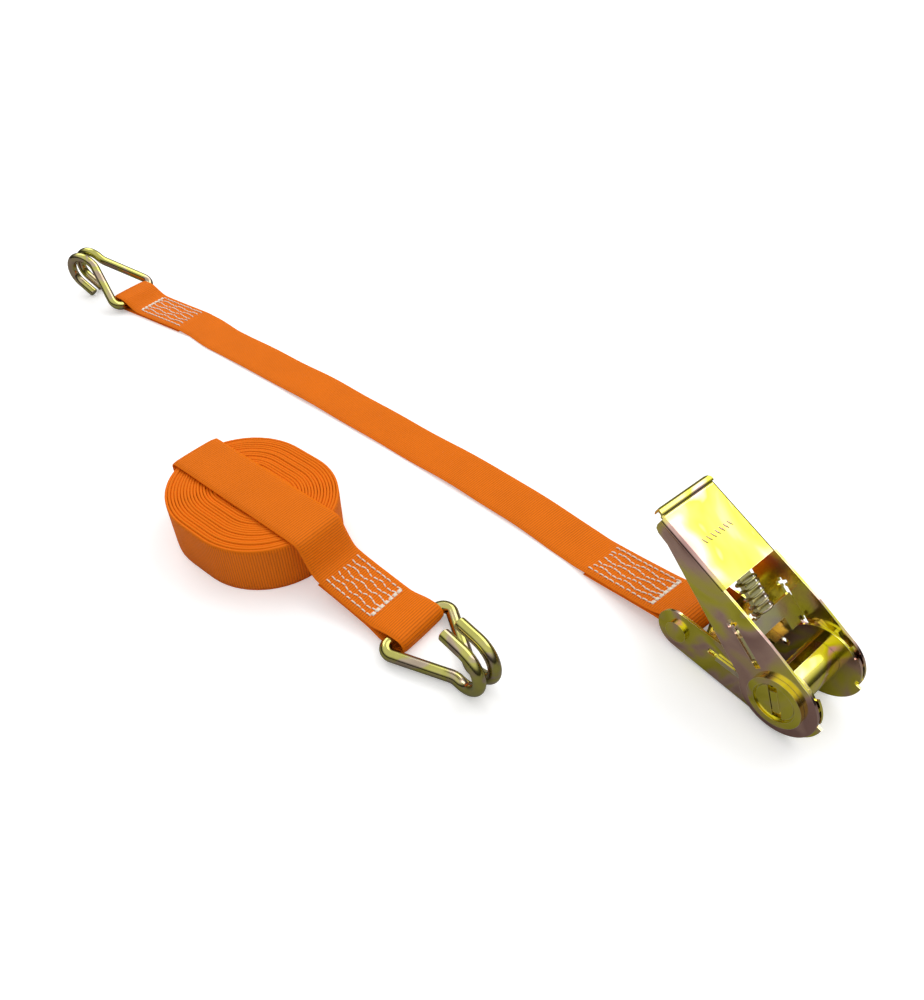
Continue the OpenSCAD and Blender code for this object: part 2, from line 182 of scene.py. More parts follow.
# %% Sky that darkens towards the horizon
SKY_STRENGTH = 0.92
HORIZON = (0.02, 0.017, 0.012)
ZENITH = (1.0, 1.0, 1.0)

def warm(level):
    """A grey that holds a little less green and blue than red."""
    return level, level * 0.98, level * 0.94

def fill_ramp(ramp, stops):
    """Put (position, colour) stops on a colour ramp, which comes with two stops of its own."""
    for element, (position, colour) in zip(ramp.elements, (stops[0], stops[-1])):
        element.position = position
        element.color = colour + (1,)
    for position, colour in stops[1:-1]:
        ramp.elements.new(position).color = colour + (1,)

world = bpy.data.worlds.new("studio")
bpy.context.scene.world = world
world.use_nodes = True
sky = world.node_tree
direction = sky.nodes.new("ShaderNodeTexCoord")
parts = sky.nodes.new("ShaderNodeSeparateXYZ")
ramp = sky.nodes.new("ShaderNodeValToRGB")
sky.links.new(direction.outputs["Generated"], parts.inputs[0])
sky.links.new(parts.outputs["Z"], ramp.inputs[0])
fill_ramp(ramp.color_ramp, [(0.05, HORIZON), (0.30, warm(0.10)), (0.46, warm(0.55)), (0.62, ZENITH)])
sky.links.new(ramp.outputs[0], sky.nodes["Background"].inputs["Color"])
sky.nodes["Background"].inputs["Strength"].default_value = SKY_STRENGTH

# Behind the object the eye sees plain white.
backdrop = sky.nodes.new("ShaderNodeBackground")
backdrop.inputs["Color"].default_value = (1, 1, 1, 1)
seen = sky.nodes.new("ShaderNodeLightPath")
choose = sky.nodes.new("ShaderNodeMixShader")
sky.links.new(seen.outputs["Is Camera Ray"], choose.inputs[0])
sky.links.new(sky.nodes["Background"].outputs[0], choose.inputs[1])
sky.links.new(backdrop.outputs[0], choose.inputs[2])
sky.links.new(choose.outputs[0], sky.nodes["World Output"].inputs["Surface"])
print("sky ready")

# %% [markdown]
# ## Shared shader groups
# Three patterns are each built once. *Zinc tints* is the pink, green and straw-yellow bloom of
# the chromate dip. *Edge wear* finds the sharp edges, where the coat is rubbed. *Ribbed weave* is the
# pattern of the webbing, read from the length and width that each strap stores in its UV map. Each is
# a node group with plain inputs and outputs, so one change reaches every material that uses it.

# %% Helper to start a group
def new_group(name, inputs, outputs):
    """A shader group with numbered inputs and typed outputs, and the nodes at its two ends."""
    group = bpy.data.node_groups.new(name, "ShaderNodeTree")
    for label, value in inputs:
        socket = group.interface.new_socket(label, in_out="INPUT", socket_type="NodeSocketFloat")
        socket.default_value = value
    for label, kind in outputs:
        group.interface.new_socket(label, in_out="OUTPUT", socket_type=kind)
    return group, group.nodes.new("NodeGroupInput"), group.nodes.new("NodeGroupOutput")

def maths(tree, operation, a, b=None, c=None):
    """One arithmetic node, fed by numbers or by other nodes."""
    node = tree.nodes.new("ShaderNodeMath")
    node.operation = operation
    for slot, value in enumerate((a, b, c)):
        if value is None:
            continue
        if isinstance(value, (int, float)):
            node.inputs[slot].default_value = value
        else:
            tree.links.new(value, node.inputs[slot])
    return node.outputs[0]

def noise_of(tree, place, scale):
    """Soft random values at a place."""
    node = tree.nodes.new("ShaderNodeTexNoise")
    if isinstance(scale, (int, float)):
        node.inputs["Scale"].default_value = scale
    else:
        tree.links.new(scale, node.inputs["Scale"])
    node.inputs["Detail"].default_value = 3.0
    node.inputs["Roughness"].default_value = 0.55
    tree.links.new(place, node.inputs["Vector"])
    return node.outputs["Fac"]

# %% Zinc tints group
BLOOM = [(0.30, (0.50, 0.30, 0.27)), (0.39, (0.78, 0.52, 0.44)), (0.45, (0.85, 0.72, 0.22)),
    (0.50, (0.87, 0.80, 0.10)), (0.58, (0.74, 0.68, 0.06)), (0.64, (0.78, 0.55, 0.46)),
    (0.74, (0.50, 0.30, 0.34))]

# The second input shifts the tint; the handle uses it to paint shade on its sides.
tints, given, made = new_group("zinc_tints", [("Patch scale", 38.0), ("Painted side shade", 0.0)],
    [("Color", "NodeSocketColor"), ("Patches", "NodeSocketFloat")])
where = tints.nodes.new("ShaderNodeTexCoord")
patches = tints.nodes.new("ShaderNodeTexNoise")
patches.inputs["Detail"].default_value = 2.5
patches.inputs["Distortion"].default_value = 0.8
tints.links.new(where.outputs["Object"], patches.inputs["Vector"])
tints.links.new(given.outputs["Patch scale"], patches.inputs["Scale"])
bloom = tints.nodes.new("ShaderNodeValToRGB")
tints.links.new(maths(tints, "ADD", patches.outputs["Fac"], given.outputs["Painted side shade"]), bloom.inputs[0])
fill_ramp(bloom.color_ramp, BLOOM)
tints.links.new(bloom.outputs[0], made.inputs["Color"])
tints.links.new(patches.outputs["Fac"], made.inputs["Patches"])
print("zinc tints:", len(BLOOM), "colours")

# %% Edge wear group
wear, given, made = new_group("edge_wear",
    [("Width mm", 0.35), ("Strength", 3.0), ("Break up", 900.0)],
    [("Mask", "NodeSocketFloat")])
rounded = wear.nodes.new("ShaderNodeBevel")
rounded.samples = 4
wear.links.new(maths(wear, "MULTIPLY", given.outputs["Width mm"], MM), rounded.inputs["Radius"])
flat_way = wear.nodes.new("ShaderNodeNewGeometry")
agree = wear.nodes.new("ShaderNodeVectorMath")
agree.operation = "DOT_PRODUCT"
wear.links.new(rounded.outputs[0], agree.inputs[0])
wear.links.new(flat_way.outputs["Normal"], agree.inputs[1])
where = wear.nodes.new("ShaderNodeTexCoord")
speckle = noise_of(wear, where.outputs["Object"], given.outputs["Break up"])
turned = maths(wear, "SUBTRACT", 1.0, agree.outputs["Value"])
edge = maths(wear, "MULTIPLY", turned, given.outputs["Strength"])
mask = maths(wear, "MULTIPLY", edge, maths(wear, "ADD", speckle, 0.3))
clamp = wear.nodes.new("ShaderNodeClamp")
wear.links.new(mask, clamp.inputs[0])
wear.links.new(clamp.outputs[0], made.inputs["Mask"])
print("edge wear ready")

# %% Ribbed weave group
weave, given, made = new_group("ribbed_weave",
    [("Rib pitch mm", 1.15), ("Yarn pitch mm", 0.55), ("Edge mm", 12.5)],
    [("Height", "NodeSocketFloat"), ("Shade", "NodeSocketFloat")])
stored = weave.nodes.new("ShaderNodeUVMap")
stored.uv_map = "length_and_width"
uv = weave.nodes.new("ShaderNodeSeparateXYZ")
weave.links.new(stored.outputs[0], uv.inputs[0])
across = maths(weave, "MULTIPLY", uv.outputs[0], 1000.0)
along = maths(weave, "MULTIPLY", uv.outputs[1], 1000.0)

ribs_passed = maths(weave, "MULTIPLY", along, 2 * math.pi)
turn = maths(weave, "DIVIDE", ribs_passed, given.outputs["Rib pitch mm"])
half_wave = maths(weave, "SINE", maths(weave, "MULTIPLY", turn, 0.5))
rib = maths(weave, "POWER", maths(weave, "ABSOLUTE", half_wave), 0.7)

yarns_passed = maths(weave, "MULTIPLY", across, 2 * math.pi)
yarn_turn = maths(weave, "DIVIDE", yarns_passed, given.outputs["Yarn pitch mm"])
shifted = maths(weave, "ADD", yarn_turn, maths(weave, "MULTIPLY", turn, 0.5))
yarn = maths(weave, "MULTIPLY", maths(weave, "ADD", maths(weave, "SINE", shifted), 1.0), 0.5)

near_edge = maths(weave, "SUBTRACT", given.outputs["Edge mm"], maths(weave, "ABSOLUTE", across))
selvage = weave.nodes.new("ShaderNodeMapRange")
weave.links.new(near_edge, selvage.inputs["Value"])
selvage.inputs["From Min"].default_value = 0.5
selvage.inputs["From Max"].default_value = 1.3
body = maths(weave, "ADD", maths(weave, "MULTIPLY", rib, 0.75), maths(weave, "MULTIPLY", yarn, 0.25))
inner = maths(weave, "MULTIPLY", body, selvage.outputs[0])
outer = maths(weave, "MULTIPLY", maths(weave, "SUBTRACT", 1.0, selvage.outputs[0]), 0.8)
height = maths(weave, "ADD", inner, outer)
weave.links.new(height, made.inputs["Height"])
weave.links.new(height, made.inputs["Shade"])
print("ribbed weave ready")

# %% [markdown]
# ## Finishes
# Every pressed or bent metal part has the same yellow zinc, smooth and glossy, so its colour comes from
# the tint group and its roughness changes only a little from patch to patch. The bolt's sleeve and the
# two pawls are paler. On the handle's sides the tint is shifted darker and pinker: painted shade.
# The webbing is matt polyester whose grooves are darker than its ribs, because less light gets in.

# %% Metal finishes
STRAW = (0.8, 0.7, 0.3)
RUBBED = (0.90, 0.84, 0.70)
# Painted shade on the handle's sides starts this far from the spool's middle and is full at the next, in mm.
SIDE_SHADE_FROM = 7
SIDE_SHADE_FULL = 15.5

def add_group(tree, group, **values):
    """Place a shared group in a material, with its own input values."""
    node = tree.nodes.new("ShaderNodeGroup")
    node.node_tree = group
    for label, value in values.items():
        node.inputs[label.replace("_", " ")].default_value = value
    return node

def mix_colours(tree, share, a, b):
    """Colour that goes from a to b as the share goes from 0 to 1."""
    node = tree.nodes.new("ShaderNodeMix")
    node.data_type = "RGBA"
    for socket, value in ((node.inputs[0], share), (node.inputs[6], a), (node.inputs[7], b)):
        if isinstance(value, (int, float)):
            socket.default_value = value
        elif isinstance(value, tuple):
            socket.default_value = value + (1,)
        else:
            tree.links.new(value, socket)
    return node.outputs[2]

def add_bump(tree, shader, height, strength, depth):
    """Turn a height pattern into relief; the depth is in metres."""
    bump = tree.nodes.new("ShaderNodeBump")
    bump.inputs["Strength"].default_value = strength
    bump.inputs["Distance"].default_value = depth
    tree.links.new(height, bump.inputs["Height"])
    tree.links.new(bump.outputs[0], shader.inputs["Normal"])

def metal(name, rough, tint_share, plain, worn, patch_scale=38.0, side_shade_shift=0.0):
    """Zinc on steel: tinted patches, rubbed edges and a faint grain. A shift of the tint at the sides paints
    shade there.
    """
    material, tree, shader = new_material(name)
    tint = add_group(tree, tints, Patch_scale=patch_scale)
    # Painted shade: on the part's sides the tint slides towards its darker, pinker end.
    if side_shade_shift:
        part_place = tree.nodes.new("ShaderNodeTexCoord")
        axes = tree.nodes.new("ShaderNodeSeparateXYZ")
        tree.links.new(part_place.outputs["Object"], axes.inputs[0])
        aside = maths(tree, "ABSOLUTE", maths(tree, "SUBTRACT", axes.outputs["Y"], hub.y))
        side_shade_range = tree.nodes.new("ShaderNodeMapRange")
        tree.links.new(aside, side_shade_range.inputs["Value"])
        side_shade_range.inputs["From Min"].default_value = SIDE_SHADE_FROM * MM
        side_shade_range.inputs["From Max"].default_value = SIDE_SHADE_FULL * MM
        side_shade_range.inputs["To Max"].default_value = side_shade_shift
        tree.links.new(side_shade_range.outputs[0], tint.inputs["Painted side shade"])
    rubbed = add_group(tree, wear)
    coated = mix_colours(tree, tint_share, plain, tint.outputs["Color"])
    colour = mix_colours(tree, rubbed.outputs["Mask"], coated, worn)
    tree.links.new(colour, shader.inputs["Base Color"])
    shader.inputs["Metallic"].default_value = 1.0
    spread = maths(tree, "MULTIPLY_ADD", tint.outputs["Patches"], 0.16, rough - 0.08)
    roughness = maths(tree, "MULTIPLY_ADD", rubbed.outputs["Mask"], 0.12, spread)
    tree.links.new(roughness, shader.inputs["Roughness"])
    where = tree.nodes.new("ShaderNodeTexCoord")
    grain = noise_of(tree, where.outputs["Object"], 1400.0)
    add_bump(tree, shader, grain, 0.04, 0.02 * MM)
    return material

yellow_zinc = metal("yellow_zinc", 0.17, 1.0, STRAW, RUBBED)
hook_zinc = metal("hook_zinc", 0.15, 0.42, (0.30, 0.30, 0.17), (0.64, 0.60, 0.48), patch_scale=60.0)
# The handle gets painted shade on its sides.
grip_zinc = metal("grip_zinc", 0.17, 1.0, STRAW, RUBBED, patch_scale=30.0, side_shade_shift=-0.07)
mark_zinc = metal("mark_zinc", 0.3, 0.3, (0.50, 0.33, 0.26), (0.8, 0.7, 0.5))
pale_zinc = metal("pale_zinc", 0.20, 0.35, (0.84, 0.82, 0.58), (0.9, 0.9, 0.84), patch_scale=70.0)
bright_wire = metal("bright_wire", 0.18, 0.2, (0.34, 0.32, 0.22), (0.6, 0.6, 0.5))
print("metal finishes:", yellow_zinc.name, hook_zinc.name, pale_zinc.name, bright_wire.name)

# %% Webbing and thread finishes
ORANGE = (0.90, 0.190, 0.0015)
DARK_THREAD = (0.75, 0.62, 0.46)
LIGHT_THREAD = (0.99, 0.94, 0.83)

def webbing(name, colour):
    """Ribbed polyester tape, darker in its grooves and slightly faded in patches."""
    material, tree, shader = new_material(name)
    cloth = add_group(tree, weave)
    where = tree.nodes.new("ShaderNodeTexCoord")
    fade = noise_of(tree, where.outputs["Object"], 45.0)
    deep = tuple(c * 0.38 for c in colour)
    base = mix_colours(tree, cloth.outputs["Shade"], deep, colour)
    light = tuple(min(1.0, c * 1.1) for c in colour)
    faded = mix_colours(tree, maths(tree, "MULTIPLY", fade, 0.5), base, light)
    tree.links.new(faded, shader.inputs["Base Color"])
    fuzz = noise_of(tree, where.outputs["Object"], 2600.0)
    tree.links.new(maths(tree, "MULTIPLY_ADD", fuzz, 0.2, 0.5), shader.inputs["Roughness"])
    shader.inputs["Specular IOR Level"].default_value = 0.12
    add_bump(tree, shader, cloth.outputs["Height"], 0.7, 0.3 * MM)
    return material

orange_webbing = webbing("orange_webbing", ORANGE)
cream_thread, tree, shader = new_material("cream_thread")
where = tree.nodes.new("ShaderNodeTexCoord")
twist = noise_of(tree, where.outputs["Object"], 1800.0)
tree.links.new(mix_colours(tree, twist, DARK_THREAD, LIGHT_THREAD), shader.inputs["Base Color"])
shader.inputs["Roughness"].default_value = 0.6
add_bump(tree, shader, twist, 0.5, 0.1 * MM)
print("soft finishes:", orange_webbing.name, cream_thread.name)

# %% [markdown]
# ## The pressed and turned metal
# These shapes are right as the CAD gives them, so they stay. A real pressed part has no knife edge: a
# narrow bevel modifier catches the light on every edge, and that line of light is most of what the eye
# reads as metal. The CAD mesh itself isn't changed by a modifier.

# %% Bevels and finishes on the CAD parts
BEVELS = {"frame": 0.22, "handle": 0.22, "lock_plate": 0.2, "release_pawl": 0.25, "wheel_left": 0.12,
    "wheel_right": 0.12, "collar_left": 0.2, "collar_right": 0.2, "strap_bolt": 0.3, "bolt_sleeve": 0.15,
    "half_shaft_front": 0.2, "half_shaft_rear": 0.2, "shaft_pin_left": 0.2, "shaft_pin_right": 0.2}
PALE = {"bolt_sleeve", "lock_plate", "release_pawl"}
BEVEL_OVER = 35
SHARP_OVER = 32

def finish_of(name):
    """The finish of a CAD part, by its name."""
    if name in PALE:
        return pale_zinc
    if name == "handle":
        return grip_zinc
    return yellow_zinc

for name, width in BEVELS.items():
    part = nodes[name]
    part.data.materials.clear()
    part.data.materials.append(finish_of(name))
    bevel = part.modifiers.new("edge", "BEVEL")
    bevel.width = width * MM
    bevel.segments = 2
    bevel.limit_method = "ANGLE"
    bevel.angle_limit = math.radians(BEVEL_OVER)
    bevel.harden_normals = True
    for face in part.data.polygons:
        face.use_smooth = True
    part.data.set_sharp_from_angle(angle=math.radians(SHARP_OVER))
print("finished", len(BEVELS), "metal parts")

# %% [markdown]
# ## Wire: the hooks and the springs
# A wire is a circle carried along a path. Blender's curve bevel can do it, but its circle may twist
# where the path turns in space, so the circle is carried here by hand: at each point it is turned only
# as much as the path turns. Rings that shrink at both ends give the cut ends a small chamfer.

# %% Carry a circle along a path
def link_mesh(name, points, faces, material, body):
    """A smooth mesh piece that moves with a body."""
    mesh = bpy.data.meshes.new(name)
    mesh.from_pydata([tuple(p) for p in points], [], faces)
    mesh.materials.append(material)
    for face in mesh.polygons:
        face.use_smooth = True
    obj = bpy.data.objects.new(name, mesh)
    bpy.context.scene.collection.objects.link(obj)
    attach(obj, body)
    return obj

def headings(path):
    """Direction of travel at each point of a path."""
    last = len(path) - 1
    return [(path[min(i + 1, last)] - path[max(i - 1, 0)]).normalized() for i in range(last + 1)]

def wire_shell(path, radius, sides, chamfer):
    """Points and faces of a round wire along a path, with chamfered ends."""
    ahead = headings(path)
    side = Vector((0.13, 0.21, 1)).cross(ahead[0]).normalized()
    rings = []
    for i, point in enumerate(path):
        side = (side - side.dot(ahead[i]) * ahead[i]).normalized()
        rings.append((point, side, ahead[i].cross(side), radius))
    first, last = rings[0], rings[-1]
    rings[0] = (path[0] + ahead[0] * chamfer,) + first[1:]
    rings[-1] = (path[-1] - ahead[-1] * chamfer,) + last[1:]
    near_end = (path[0], first[1], first[2], radius - chamfer)
    far_end = (path[-1], last[1], last[2], radius - chamfer)
    rings = [near_end] + rings + [far_end]
    points, faces = [], []
    for point, u, v, r in rings:
        for k in range(sides):
            turn = 2 * math.pi * k / sides
            points.append(point + r * (math.cos(turn) * u + math.sin(turn) * v))
    for i in range(len(rings) - 1):
        for k in range(sides):
            a, b = i * sides + k, i * sides + (k + 1) % sides
            faces.append((a, b, b + sides, a + sides))
    faces.append(tuple(range(sides - 1, -1, -1)))
    faces.append(tuple(range(len(points) - sides, len(points))))
    return points, faces

# %% The hook's path, from the middle of its bar to one prong's tip
WIRE_R = 2.75
ARM_HALF = 16.9
CORNER_R = 4.0
SLANT = 27.0
BLEND_R = 8.0
PRONG_HALF = 4.1
BEND_R = 10.5
PRONG_END = 22.5
BEFORE_BEND = 0.8

def on_circle(cx, cy, r, degrees):
    """Point of a circle at an angle."""
    t = math.radians(degrees)
    return cx + r * math.cos(t), cy + r * math.sin(t)

def arc(cx, cy, r, start, end, steps):
    """Evenly spaced points of a circle from one angle to another."""
    return [on_circle(cx, cy, r, start + (end - start) * i / steps) for i in range(steps + 1)]

def straight(a, b, steps):
    """Points between two ends, without the ends."""
    return [tuple(a[k] + (b[k] - a[k]) * i / steps for k in range(3)) for i in range(1, steps)]

def half_hook():
    """Half of the wire's middle line in mm, and how far from the bar its bend starts."""
    slant = math.radians(SLANT)
    steep = math.radians(90 - SLANT)
    arm_x = CORNER_R + CORNER_R * math.cos(steep)
    arm_y = ARM_HALF - CORNER_R + CORNER_R * math.sin(steep)
    blend_y = PRONG_HALF + BLEND_R * (1 - math.cos(slant))
    blend_x = arm_x + (arm_y - blend_y) / math.tan(slant) + BLEND_R * math.sin(slant)
    bend_x = blend_x + BEFORE_BEND
    tip = (PRONG_END, PRONG_HALF, 2 * BEND_R)
    path = [(0, 4.0, 0), (0, 8.0, 0)]
    path += [(x, y, 0) for x, y in arc(CORNER_R, ARM_HALF - CORNER_R, CORNER_R, 180, 90 - SLANT, 14)]
    waist = arc(blend_x, PRONG_HALF + BLEND_R, BLEND_R, -90 - SLANT, -90, 8)
    path += straight(path[-1], (waist[0][0], waist[0][1], 0), 8)
    path += [(x, y, 0) for x, y in waist]
    path += [(x, PRONG_HALF, z) for x, z in arc(bend_x, BEND_R, BEND_R, -90, 90, 36)]
    path += straight(path[-1], tip, 5)
    path.append(tip)
    return path, bend_x

half, hook_bend_x = half_hook()
hook_path = [Vector(p) for p in reversed(half)] + [Vector((p[0], -p[1], p[2])) for p in half]
print("hook wire:", round(sum((b - a).length for a, b in zip(hook_path, hook_path[1:]))), "mm long")

# %% Set each hook on its bar
BAR_Z = 4.35
FLOOR_GAP = 0.05

def hook(name, node, joint, tilt, curl):
    """One hook on its bar, raised by a tilt; its prongs curl up (1) or down (-1)."""
    bar = Vector(joints[joint]["pos_m"])
    along_bar = -Vector(joints[joint]["axis"]).normalized()
    level = along_bar.cross(Vector((0, 0, 1)))
    out = math.cos(tilt) * level + math.sin(tilt) * Vector((0, 0, 1))
    up = (-math.sin(tilt) * level + math.cos(tilt) * Vector((0, 0, 1))) * curl
    path = [bar + MM * (p.x * out + p.y * along_bar + p.z * up) for p in hook_path]
    points, faces = wire_shell(path, WIRE_R * MM, 28, 0.45 * MM)
    obj = link_mesh(name, points, faces, hook_zinc, node)
    obj.data.set_sharp_from_angle(angle=math.radians(40))
    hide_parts(node)
    return obj

drop = 2 * BEND_R + WIRE_R
short_tilt = math.atan2(drop, PRONG_END) - math.asin(BAR_Z / math.hypot(PRONG_END, drop)) + math.radians(0.3)
long_tilt = -math.asin((BAR_Z - WIRE_R - FLOOR_GAP) / (hook_bend_x + 0.5))
short_hook = hook("short_strap_hook", "short_hook", "short_hook_swing", short_tilt, -1)
long_hook = hook("long_strap_hook", "long_hook", "long_hook_swing", long_tilt, 1)
for made_hook, node in ((short_hook, "short_hook"), (long_hook, "long_hook")):
    spots = [v.co for v in made_hook.data.vertices]
    own = [round(edge_of(p[k] for p in spots) / MM, 1) for k in range(3) for edge_of in (min, max)]
    cad = [round(corner[k] / MM, 1) for k in range(3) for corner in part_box(node)]
    print(made_hook.name, "box mm", own, "CAD", cad)

# %% Springs set on their plates
FLAT_TURNS = 0.75
STEPS_A_COIL = 28
PAWL_SPRING_OUT = 41.7
LOCK_SPRING_BACK = 37.0
LOCK_SPRING_DOWN = 4

def coil(radius, length, turns, closed):
    """Middle line of a spring whose last turns at each end lie close together."""
    open_length = length - 2 * FLAT_TURNS * closed
    steps = int(turns * STEPS_A_COIL)
    path = []
    for i in range(steps + 1):
        u = turns * i / steps
        if u < FLAT_TURNS:
            x = u * closed
        elif u > turns - FLAT_TURNS:
            x = length - (turns - u) * closed
        else:
            x = FLAT_TURNS * closed + (u - FLAT_TURNS) * open_length / (turns - 2 * FLAT_TURNS)
        path.append((x, radius * math.cos(2 * math.pi * u), radius * math.sin(2 * math.pi * u)))
    return path

def spring(name, node, body, start, direction, radius, length, turns, closed, wire):
    """One spring, fixed to a body; sizes are in mm."""
    direction = Vector(direction).normalized()
    level = Vector((0, 1, 0))
    other = direction.cross(level)
    line = coil(radius, length, turns, closed)
    path = [start + MM * (x * direction + y * level + z * other) for x, y, z in line]
    points, faces = wire_shell(path, wire * MM, 12, 0.1 * MM)
    obj = link_mesh(name, points, faces, bright_wire, body)
    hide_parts(node)
    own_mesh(obj)

pawl_axis = Vector(joints["release_pawl_slide"]["axis"])
pawl_start = hub + PAWL_SPRING_OUT * MM * pawl_axis
spring("pawl_coil", "pawl_spring", "handle", pawl_start, -pawl_axis,
    radius=4.1, length=13.6, turns=5, closed=1.1, wire=0.5)
lock_start = Vector((hub.x - LOCK_SPRING_BACK * MM, hub.y, hub.z - LOCK_SPRING_DOWN * MM))
spring("lock_coil", "lock_spring", "ratchet_frame", lock_start, (1, 0, 0),
    radius=3.2, length=7.3, turns=4.5, closed=0.9, wire=0.4)
print("two springs")

# %% [markdown]
# ## Webbing
# Webbing is a flat tape that bends easily one way and hardly at all the other. It is made as a ribbon:
# a line down the middle of the tape, and at each point the direction across it. The outline across has
# rounded edges and a slight crown, and its UV map stores the real length and width, so the weave keeps
# its scale round every bend. No cloth simulation is used: the way the tape lies is known, so it is
# laid there directly.

# %% Smooth a path and space its points evenly
def soften(points, rounds):
    """Round the corners of a path by cutting them, and keep its ends."""
    for _ in range(rounds):
        cut = [points[0]]
        for a, b in zip(points, points[1:]):
            cut += [a.lerp(b, 0.25), a.lerp(b, 0.75)]
        points = cut + [points[-1]]
    return points

def even(points, spacing):
    """The same path with evenly spaced points, and its length."""
    marks = [0.0]
    for a, b in zip(points, points[1:]):
        marks.append(marks[-1] + (b - a).length)
    count = max(2, round(marks[-1] / spacing))
    result, j = [], 0
    for i in range(count + 1):
        s = marks[-1] * i / count
        while j < len(marks) - 2 and marks[j + 1] < s:
            j += 1
        share = (s - marks[j]) / max(marks[j + 1] - marks[j], 1e-9)
        result.append(points[j].lerp(points[j + 1], share))
    return result, marks[-1]

# %% Turn a middle line into a tape
TAPE = 25.0
THICK = 1.2
SLOW_WANDER = 23
QUICK_WANDER = 7.3

def tape_rows(path, across_of):
    """Point, direction across, outward direction and length run, for each point of a path."""
    rows = []
    run = 0.0
    ahead = headings(path)
    for i, point in enumerate(path):
        if i:
            run += (point - path[i - 1]).length
        side = across_of(i, point)
        side = (side - side.dot(ahead[i]) * ahead[i]).normalized()
        rows.append((point, side, side.cross(ahead[i]).normalized(), run))
    return rows

OUTLINE_STEPS = 10

def tape_outline(width, thick, crown, edge_share):
    """Section across a tape, in mm: crowned, with rounded edges."""
    top = []
    for k in range(OUTLINE_STEPS + 1):
        t = -1 + 2 * k / OUTLINE_STEPS
        edge = math.sqrt(max(0.0, 1 - abs(t) ** 16)) * (1 - edge_share) + edge_share
        top.append((t * width / 2, crown * (1 - t * t), edge * thick / 2))
    upper = [(x, bow + half) for x, bow, half in top]
    lower = [(x, bow - half) for x, bow, half in reversed(top)]
    right_edge = (width / 2 + 0.12, 0.0)
    left_edge = (-width / 2 - 0.12, 0.0)
    return upper + [right_edge] + lower + [left_edge]

def tape(name, rows, body, crown=0.12, width=TAPE, wander=0.12, thick=THICK, edge_share=0.38):
    """A webbing piece from its rows; widths and thicknesses are in mm."""
    outline = tape_outline(width, thick, crown, edge_share)
    count = len(outline)
    points, faces, uvs = [], [], []
    for point, side, normal, run in rows:
        slow = wander / width * math.sin(run / (SLOW_WANDER * MM))
        quick = wander / width * math.sin(run / (QUICK_WANDER * MM) + 1)
        spread = 1 + slow + quick
        for x, z in outline:
            points.append(point + MM * (x * spread * side + z * normal))
            uvs.append((x * MM, run))
    for i in range(len(rows) - 1):
        for k in range(count):
            a, b = i * count + k, i * count + (k + 1) % count
            faces.append((a, a + count, b + count, b))
    faces.append(tuple(range(count)))
    faces.append(tuple(range(len(points) - 1, len(points) - count - 1, -1)))
    obj = link_mesh(name, points, faces, orange_webbing, body)
    layer = obj.data.uv_layers.new(name="length_and_width")
    for loop in obj.data.loops:
        layer.data[loop.index].uv = uvs[loop.vertex_index]
    print(name, "length", round(rows[-1][3] / MM), "mm,", len(obj.data.polygons), "faces")
    return obj

# %% [markdown]
# ## The short strap
# It starts at its cut end under the ratchet, goes round the bolt's sleeve, comes back over itself, runs
# along the floor in a gentle curve, and goes round the hook's bar in the same way. It is one tape, so it
# is one ribbon. The plan curve bends early, because the ratchet holds the tape square to its bolt.

# %% Path of the short strap
bolt = Vector(joints["short_strap_swing"]["pos_m"])
short_bar = Vector(joints["short_hook_swing"]["pos_m"])
STRAIGHT = 100.0
REACH = 458.0
DRIFT = 59.0
QUICK = 52.0
FADE = 0.12
LATE = 7.0
STEADY = DRIFT - QUICK * (1 - FADE) - LATE
BOLT_X = -46
SLEEVE_LOOP_R = 5.15
HOOK_LOOP_R = 3.7
LAID_FROM = 112
LAID_TO = 72
LAID_STEPS = 41

def drift(x):
    """How far sideways the strap lies, in mm, at a distance along the ratchet's axis."""
    u = max(0.0, (-STRAIGHT - x) / (REACH - STRAIGHT))
    return -STEADY * u * u - QUICK * (u - FADE * (1 - math.exp(-u / FADE))) - LATE * u ** 6

strap_turn = math.atan((2 * STEADY + QUICK + 6 * LATE) / (REACH - STRAIGHT))
bolt_z = bolt.z / MM
near_loop = [(-97.5, 0.72), (-62, bolt_z - 4.08), (-58, bolt_z - 3.3), (-54, bolt_z - 2.9)]
near_loop.append(on_circle(BOLT_X, bolt_z, SLEEVE_LOOP_R, -118))
near_loop += arc(BOLT_X, bolt_z, SLEEVE_LOOP_R, -110, 128, 26)
near_loop += [(-53, bolt_z + 1.5), (-57, bolt_z - 0.6), (-62, bolt_z - 2.7), (-80, bolt_z - 6.3), (-98, 2.1)]
near_loop += [(-104, 1.05), (-110, 0.75)]
path = [Vector((hub.x + x * MM, hub.y, z * MM)) for x, z in near_loop]

def ripple(x):
    """Small waves that lift the laid tape off the floor, in mm."""
    return 0.35 * (1 - math.cos((x + 110) / 19.0)) + 0.25 * (1 - math.cos((x + 110) / 8.3))

for i in range(1, LAID_STEPS):
    x = -LAID_FROM - i * (REACH - LAID_FROM - LAID_TO) / LAID_STEPS
    calm = min(1.0, (-LAID_FROM - x) / 30, (x + REACH - 70) / 20)
    height = 0.66 + max(0.0, calm) * ripple(x)
    path.append(Vector((hub.x + x * MM, hub.y + drift(x) * MM, height * MM)))
away = Vector((-math.cos(strap_turn), -math.sin(strap_turn), 0))
far_loop = [(-64, 0.66), (-60, 1.0), (-54, 1.95), (-50, 2.02), (-17, 2.02), (-12, 3.0)]
far_loop += [(-8, 5.3), (-4.5, 7.4), (-2.8, 7.95)]
far_loop += arc(2.86, BAR_Z, HOOK_LOOP_R, 90, -90, 16)
far_loop += [(-5, 0.65), (-12, 0.65), (-52, 0.62)]
path += [short_bar + MM * (x * away) + Vector((0, 0, z * MM - short_bar.z)) for x, z in far_loop]
short_path, short_length = even(soften(path, 3), 1.6 * MM)
print("short strap middle line:", round(short_length / MM), "mm")

